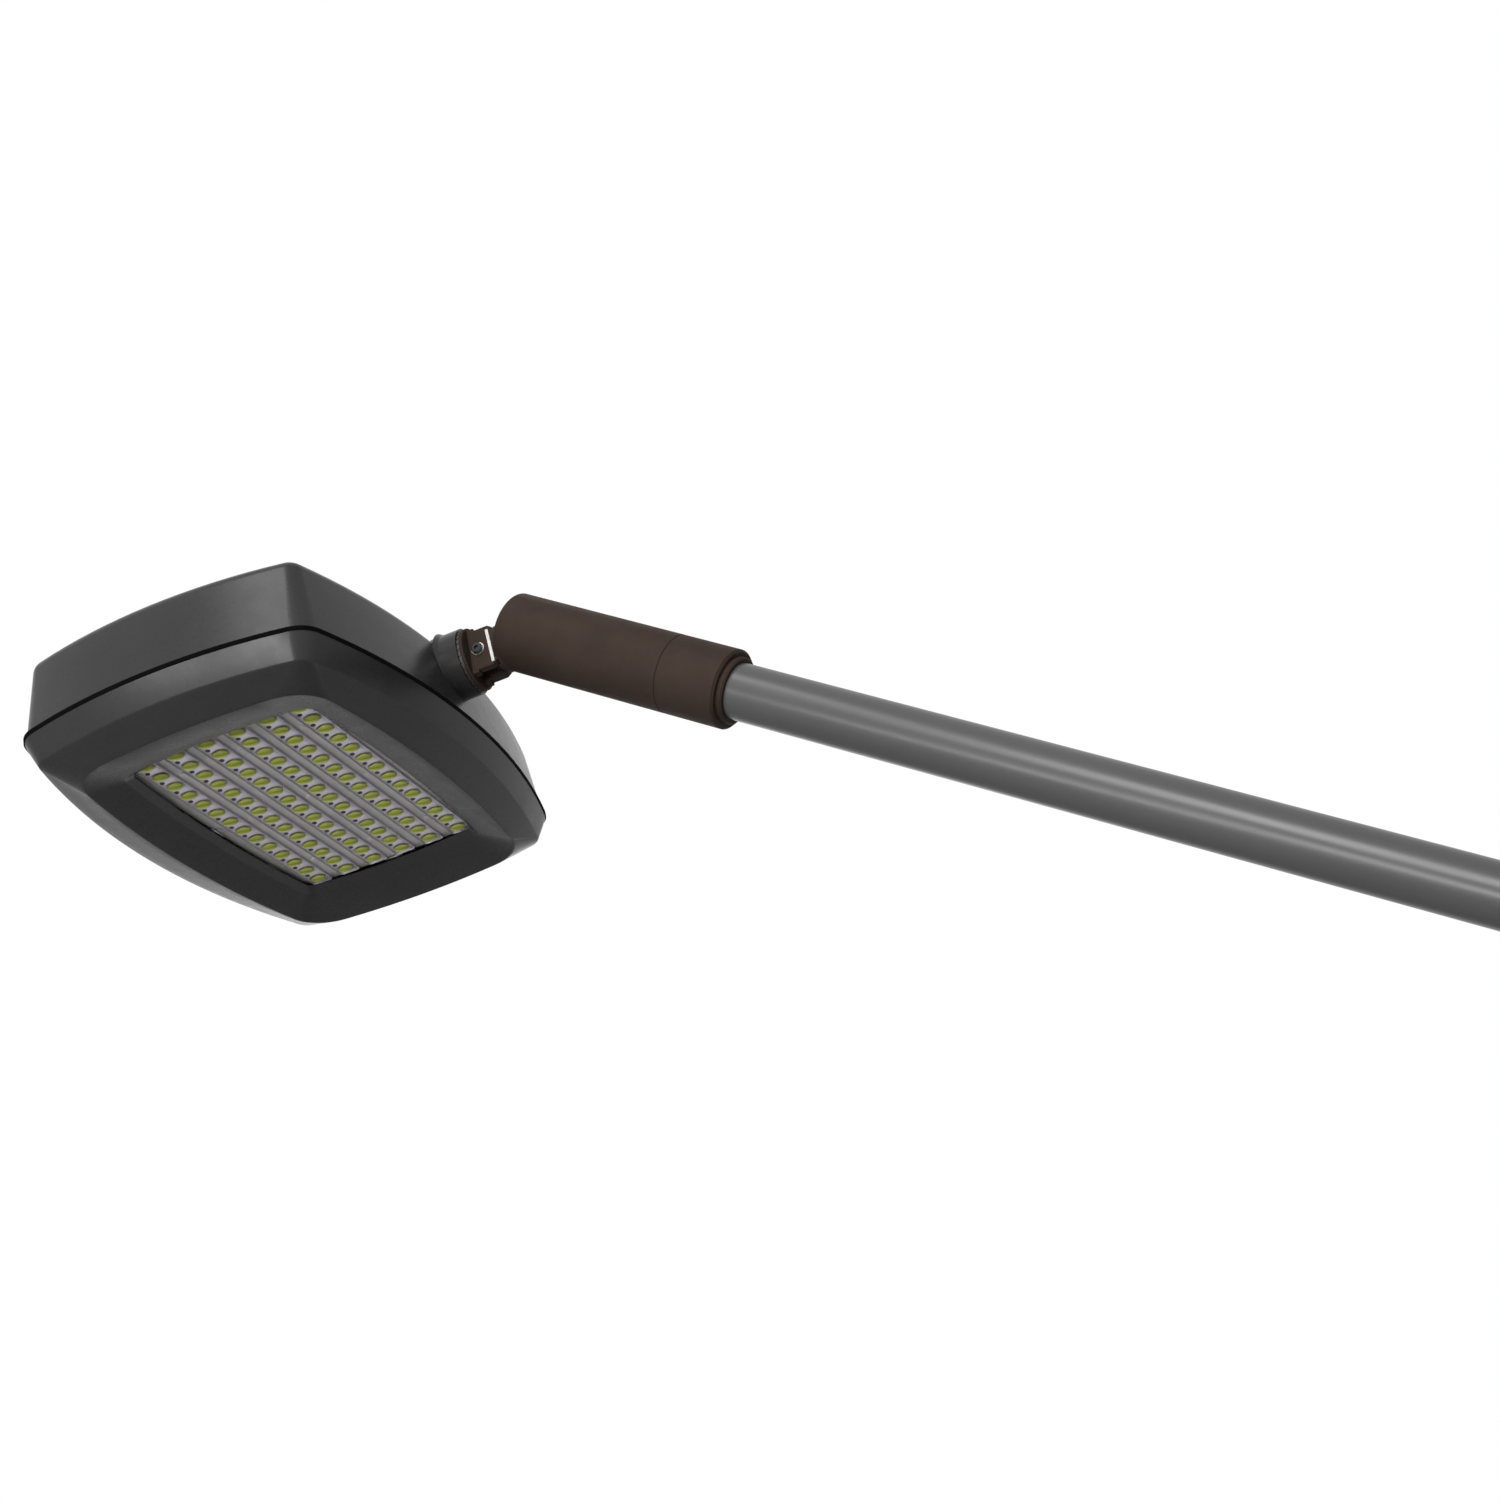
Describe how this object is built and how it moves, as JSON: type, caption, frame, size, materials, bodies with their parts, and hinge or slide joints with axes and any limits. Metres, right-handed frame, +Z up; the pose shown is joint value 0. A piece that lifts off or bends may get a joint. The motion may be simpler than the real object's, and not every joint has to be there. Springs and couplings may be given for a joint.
{
  "type": "led floodlight",
  "caption": "LED floodlight with a bowed rectangular head, tilting knuckle and slipfitter on a round wall arm.",
  "frame": {"origin": "middle of the wall plate's gasket, on the wall face", "axes": "+X out of the wall along the arm, +Z up, +Y to the left of the arm seen from the wall"},
  "size_m": [1.2313, 0.4734, 0.3599],
  "materials": {
    "arm_paint": "satin grey coat",
    "head_paint": "fine texture dark grey coat",
    "brown_paint": "satin dark bronze coat",
    "steel": "plain",
    "black_steel": "black oxide",
    "seal": "matte",
    "window": "clear tempered",
    "board_white": "white solder mask",
    "phosphor": "yellow phosphor",
    "optic": "clear moulded",
    "spreader": "milled",
    "driver_case": "anodised",
    "surge_case": "potted",
    "terminals": "moulded",
    "vent": "moulded"
  },
  "bodies": {
    "arm": {"wall_gasket": "seal", "wall_plate": "arm_paint", "pipe_hub": "arm_paint", "hub_set_screws": "black_steel", "arm_pipe": "arm_paint"},
    "slipfitter": {"slipfitter_collar": "brown_paint", "reducer_bushing": "brown_paint", "sleeve_set_screws": "black_steel", "slipfitter_body": "brown_paint"},
    "knuckle": {"knuckle_clevis": "brown_paint", "aiming_strip": "steel", "pivot_bolt": "steel", "pivot_washers": "steel", "pivot_nut": "steel", "tooth_washer": "steel", "stem_locknut": "steel"},
    "head": {"rear_housing": "head_paint", "front_frame": "head_paint", "glass_clips": "steel", "clip_screws": "steel", "board_screws": "steel", "spreader_screws": "steel", "tray_screws": "steel", "driver_tray": "steel", "frame_screws": "steel", "housing_gasket": "seal", "lens_seal": "seal", "cover_glass": "window", "led_board": "board_white", "led_packages": "phosphor", "lens_strips": "optic", "heat_spreader": "spreader", "led_driver": "driver_case", "surge_protector": "surge_case", "terminal_block": "terminals", "breather_vent": "vent"}
  },
  "joints": [
    {"name": "arm_swivel", "type": "hinge", "parent": "arm", "child": "slipfitter", "pos_m": [0.735, 0, 0], "axis": [1, 0, 0], "range_deg": [-180, 180]},
    {"name": "tilt", "type": "hinge", "parent": "slipfitter", "child": "knuckle", "pos_m": [0.944, 0, -0.0286], "axis": [0, 1, 0], "range_deg": [-36, 54]},
    {"name": "neck_swivel", "type": "hinge", "parent": "knuckle", "child": "head", "pos_m": [0.944, 0, -0.0286], "axis": [0.809, 0, -0.5878], "range_deg": [-90, 90]}
  ]
}
